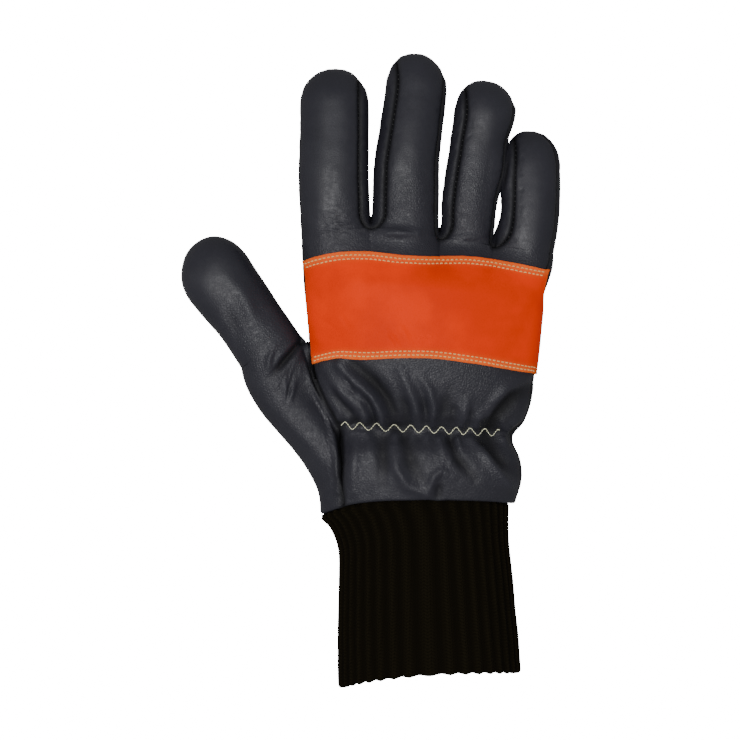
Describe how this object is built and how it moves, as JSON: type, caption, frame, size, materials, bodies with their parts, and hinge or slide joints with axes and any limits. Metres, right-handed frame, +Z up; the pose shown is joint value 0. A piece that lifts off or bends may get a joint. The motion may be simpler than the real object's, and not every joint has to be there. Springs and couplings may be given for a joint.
{
  "type": "protective work glove",
  "caption": "right-hand leather work glove with a contrasting knuckle band, an elastic gathered wrist and a ribbed knit cuff, lying palm down",
  "frame": {"origin": "centre of the outline on the floor that the glove lies on", "axes": "+X across the hand to the little finger, +Y along the hand to the fingertips, +Z up through the back of the hand"},
  "size_m": [0.1728, 0.2892, 0.0383],
  "materials": {
    "leather": "smooth dyed grain leather, dark slate grey",
    "band_leather": "smooth dyed leather, bright orange",
    "knit": "black ribbed knit"
  },
  "bodies": {
    "root": {"back_panel": "leather", "palm_panel": "leather", "thumb": "leather", "strip_index_middle": "leather", "strip_middle_ring": "leather", "strip_ring_little": "leather", "knuckle_band": "band_leather", "knit_cuff": "knit"}
  },
  "joints": []
}
